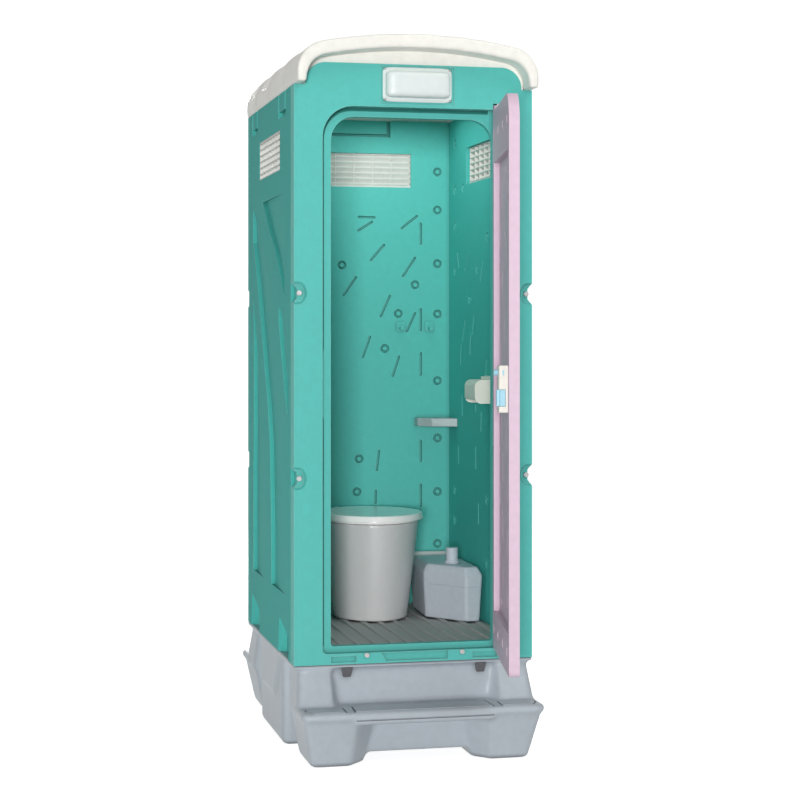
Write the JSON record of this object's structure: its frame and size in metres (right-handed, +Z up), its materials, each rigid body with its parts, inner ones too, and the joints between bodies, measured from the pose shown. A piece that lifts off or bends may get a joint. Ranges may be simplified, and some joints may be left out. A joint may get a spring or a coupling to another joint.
{
  "type": "portable toilet cabin",
  "caption": "Free-standing moulded site toilet cabin on a step tank, with a hinged door, a western pedestal and a hand-pumped flush tank.",
  "frame": {"origin": "on the ground under the middle of the whole object as it stands with its door ajar", "axes": "+Z up, -Y out of the doorway, +X to the right of a person who faces the door"},
  "size_m": [0.886, 1.8892, 2.566],
  "materials": {
    "wall_plastic": "satin moulded polyethylene",
    "cream_plastic": "satin moulded polyethylene",
    "door_plastic": "satin moulded polyethylene",
    "tank_plastic": "satin moulded polyethylene",
    "floor_plastic": "ribbed moulded plastic",
    "pedestal_plastic": "semi-gloss moulded plastic",
    "flush_plastic": "satin moulded plastic",
    "bright_steel": "zinc-plated steel",
    "seat_plastic": "gloss moulded plastic",
    "lamp_plastic": "opal lamp cover",
    "blue_plastic": "gloss moulded plastic",
    "dark_plastic": "satin moulded plastic"
  },
  "bodies": {
    "cabin": {"base_tank": "tank_plastic", "floor_pan": "floor_plastic", "front_panel": "wall_plastic", "left_panel": "wall_plastic", "right_panel": "wall_plastic", "rear_panel": "wall_plastic", "vent_grille_right": "cream_plastic", "vent_grille_left": "cream_plastic", "vent_grille_rear": "cream_plastic", "roof": "cream_plastic", "gable_panel_front": "cream_plastic", "gable_panel_rear": "cream_plastic", "hinge_bushes": "dark_plastic", "lock_keeper": "bright_steel", "lamp_frame": "cream_plastic", "lamp_lens": "lamp_plastic", "lamp_screws": "bright_steel", "corner_bolts": "bright_steel", "sill_screws": "bright_steel", "tank_clips": "dark_plastic", "pedestal": "pedestal_plastic", "bowl": "seat_plastic", "seat_hinge": "bright_steel", "flush_tank": "flush_plastic", "pump_collar": "flush_plastic", "coat_hooks": "wall_plastic", "corner_shelf": "flush_plastic", "paper_holder": "cream_plastic", "pump_out_neck": "dark_plastic", "flush_pipe": "flush_plastic"},
    "door": {"door_leaf": "door_plastic", "hinge_pins": "bright_steel", "lock_case": "cream_plastic", "outer_plate": "cream_plastic"},
    "bolt": {"lock_bolt": "blue_plastic"},
    "catch": {"door_catch": "blue_plastic"},
    "seat": {"seat": "seat_plastic"},
    "lid": {"lid": "seat_plastic"},
    "plunger": {"pump_plunger": "flush_plastic"},
    "paper_cover": {"paper_cover": "cream_plastic"},
    "pump_out_cap": {"pump_out_cap": "dark_plastic"}
  },
  "joints": [
    {"name": "door_hinge", "type": "hinge", "parent": "cabin", "child": "door", "pos_m": [0.31, -0.31593, 1.34], "axis": [0, 0, 1], "range_deg": [-79, 26]},
    {"name": "bolt_slide", "type": "slide", "parent": "door", "child": "bolt", "axis": [-0.1908, -0.9816, 0], "range_m": [0, 0.017]},
    {"name": "catch_slide", "type": "slide", "parent": "door", "child": "catch", "axis": [-0.1908, -0.9816, 0], "range_m": [0, 0.012]},
    {"name": "seat_hinge", "type": "hinge", "parent": "cabin", "child": "seat", "pos_m": [0, 0.68257, 0.792], "axis": [-1, 0, 0], "range_deg": [0, 88]},
    {"name": "lid_hinge", "type": "hinge", "parent": "seat", "child": "lid", "pos_m": [0, 0.68257, 0.792], "axis": [1, 0, 0], "range_deg": [-93, 0]},
    {"name": "pump_stroke", "type": "slide", "parent": "cabin", "child": "plunger", "axis": [0, 0, -1], "range_m": [0, 0.02], "stiffness_N_per_m": 300, "springref_m": -0.03},
    {"name": "paper_cover_hinge", "type": "hinge", "parent": "cabin", "child": "paper_cover", "pos_m": [0.386, 0.09557, 1.336], "axis": [0, 1, 0], "range_deg": [0, 85]},
    {"name": "pump_out_hinge", "type": "hinge", "parent": "cabin", "child": "pump_out_cap", "pos_m": [0, 0.80157, 0.238], "axis": [1, 0, 0], "range_deg": [0, 95]}
  ]
}
